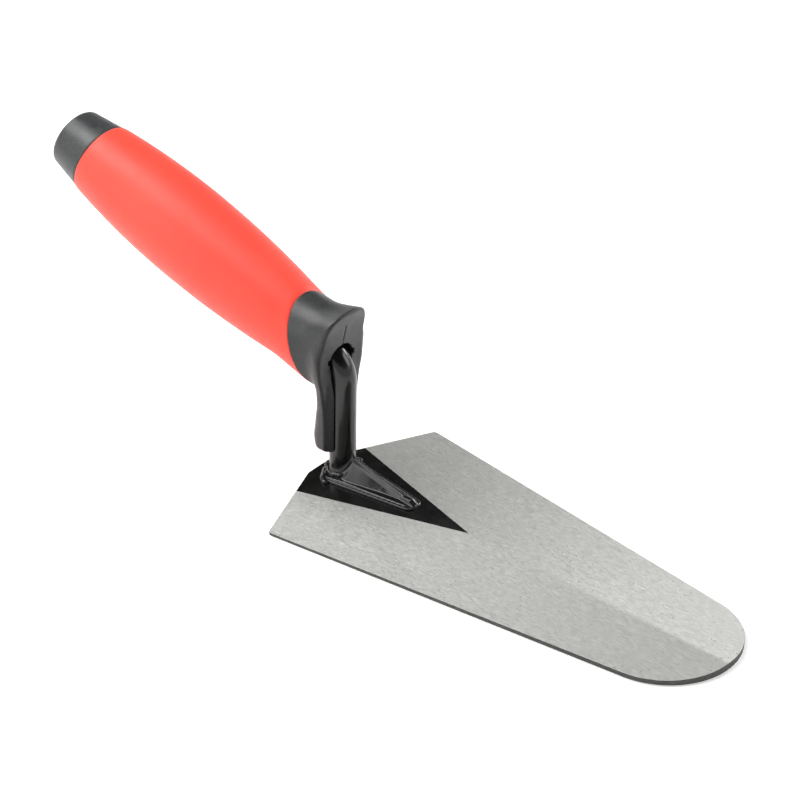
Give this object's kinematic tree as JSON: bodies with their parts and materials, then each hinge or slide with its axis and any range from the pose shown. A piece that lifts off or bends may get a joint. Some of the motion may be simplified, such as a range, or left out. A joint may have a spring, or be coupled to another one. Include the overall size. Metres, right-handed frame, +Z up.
{
  "type": "gauging trowel",
  "caption": "Round-nosed gauging trowel: flat ground steel blade on a welded cranked shank, with a soft-grip handle and a moulded finger guard.",
  "frame": {"origin": "on the flat underside of the blade, straight below the upright axis of the shank", "axes": "+X along the blade towards the nose, +Y towards the left-hand edge seen from the handle, +Z up out of the blade's top"},
  "size_m": [0.3028, 0.088, 0.0996],
  "materials": {
    "ground_steel": "ground along the blade, uncoated",
    "black_lacquer": "glossy black lacquer",
    "core_plastic": "plain moulded",
    "dark_plastic": "fine satin texture",
    "red_soft_grip": "satin soft-touch rubber"
  },
  "bodies": {
    "root": {"blade": "ground_steel", "shank": "black_lacquer", "weld_bead": "black_lacquer", "handle_core": "core_plastic", "finger_guard": "dark_plastic", "grip_sleeve": "red_soft_grip", "butt_cap": "dark_plastic"}
  },
  "joints": []
}
